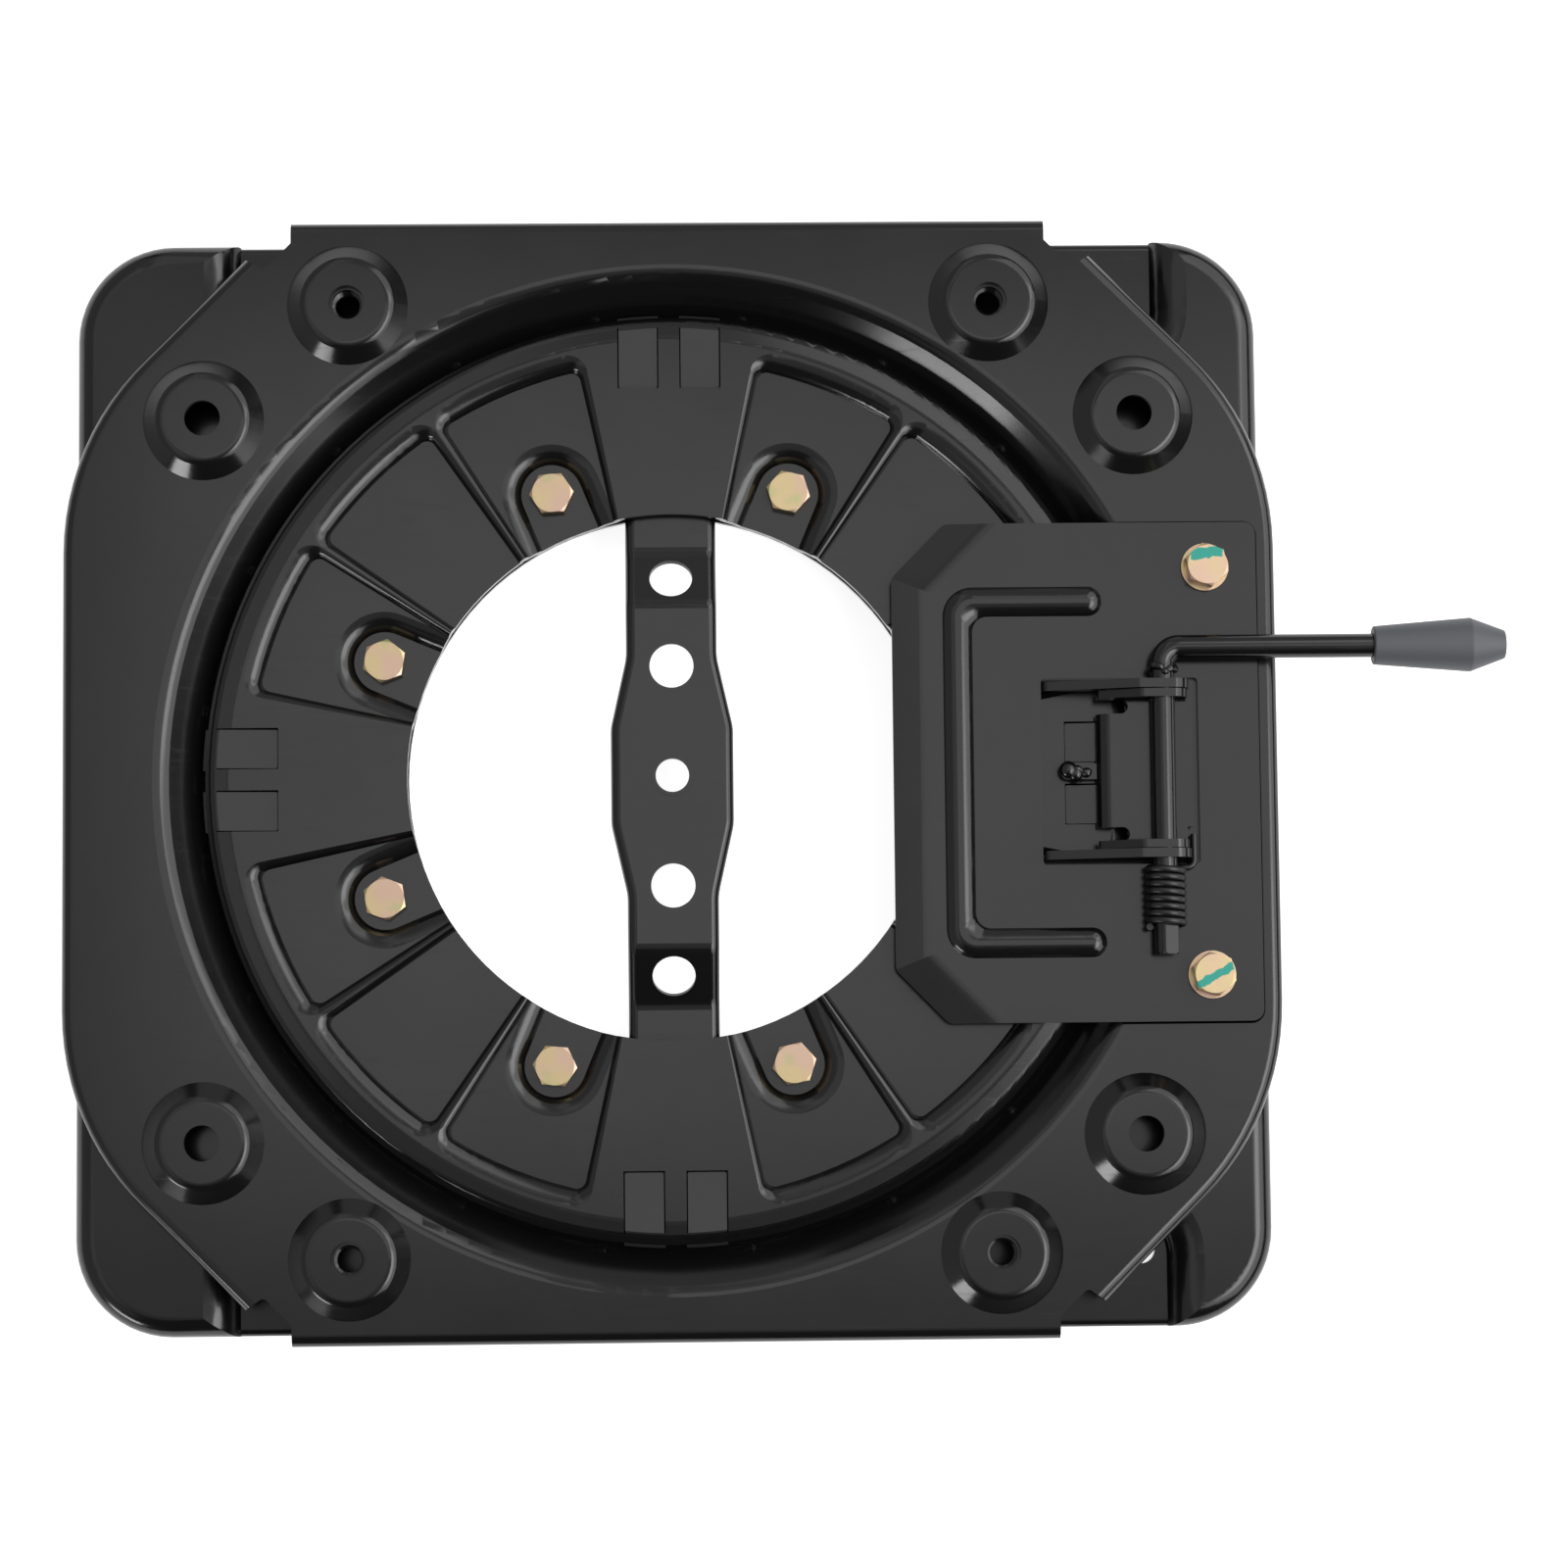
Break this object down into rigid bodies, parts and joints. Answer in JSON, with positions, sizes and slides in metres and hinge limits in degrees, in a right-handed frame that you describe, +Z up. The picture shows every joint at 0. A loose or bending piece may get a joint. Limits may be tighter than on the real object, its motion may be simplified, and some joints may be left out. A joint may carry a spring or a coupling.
{
  "type": "swivel seat base",
  "caption": "Flat turning base for a vehicle seat: pressed plates on a ball race, a bolted disc with stamped pockets, and a sprung latch with a side handle.",
  "frame": {"origin": "on the turning axis, in the plane of the raised bosses that the seat is bolted to", "axes": "+Z up along the turning axis; +X towards the release handle; +Y along the latch's pivot shaft towards the handle's bend"},
  "size_m": [0.4842, 0.3784, 0.0502],
  "materials": {
    "black_powder_coat": "satin",
    "spring_wire": "satin",
    "yellow_zinc": "satin",
    "ball_steel": "polished",
    "cage_plastic": "matte",
    "grey_plastic": "matte"
  },
  "bodies": {
    "base": {"lower_plate": "black_powder_coat", "centre_strap": "black_powder_coat", "retaining_disc": "black_powder_coat", "disc_bolts": "yellow_zinc", "disc_nuts": "yellow_zinc"},
    "lower_cage": {"lower_ball_cage": "cage_plastic", "lower_balls": "ball_steel"},
    "upper_cage": {"upper_ball_cage": "cage_plastic", "upper_balls": "ball_steel"},
    "turntable": {"turntable_plate": "black_powder_coat", "seat_weld_nuts": "black_powder_coat", "latch_plate": "black_powder_coat", "latch_bolts": "yellow_zinc", "latch_spring_washers": "yellow_zinc", "latch_flat_washers": "yellow_zinc", "latch_weld_nuts": "black_powder_coat", "torsion_spring": "spring_wire"},
    "lever": {"locking_pawl": "black_powder_coat", "pawl_stop": "black_powder_coat", "pivot_shaft": "black_powder_coat", "handle_rod": "black_powder_coat", "handle_weld": "black_powder_coat", "handle_knob": "grey_plastic"}
  },
  "joints": [
    {"name": "swivel", "type": "hinge", "parent": "base", "child": "turntable", "pos_m": [0, 0, 0], "axis": [0, 0, 1], "continuous": true},
    {"name": "upper_cage_turn", "type": "hinge", "parent": "base", "child": "upper_cage", "pos_m": [0, 0, -0.0142], "axis": [0, 0, 1], "continuous": true},
    {"name": "lower_cage_turn", "type": "hinge", "parent": "base", "child": "lower_cage", "pos_m": [0, 0, -0.0228], "axis": [0, 0, 1], "continuous": true},
    {"name": "latch_release", "type": "hinge", "parent": "turntable", "child": "lever", "pos_m": [0.1644, 0, 0.00515], "axis": [0, 1, 0], "range_deg": [-4.5, 5], "stiffness_Nm_per_rad": 0.5, "springref_deg": -68.75}
  ],
  "couplings": [
    {"joint": "upper_cage_turn", "follows": "swivel", "ratio": 0.5},
    {"joint": "lower_cage_turn", "follows": "swivel", "ratio": 0.5}
  ]
}
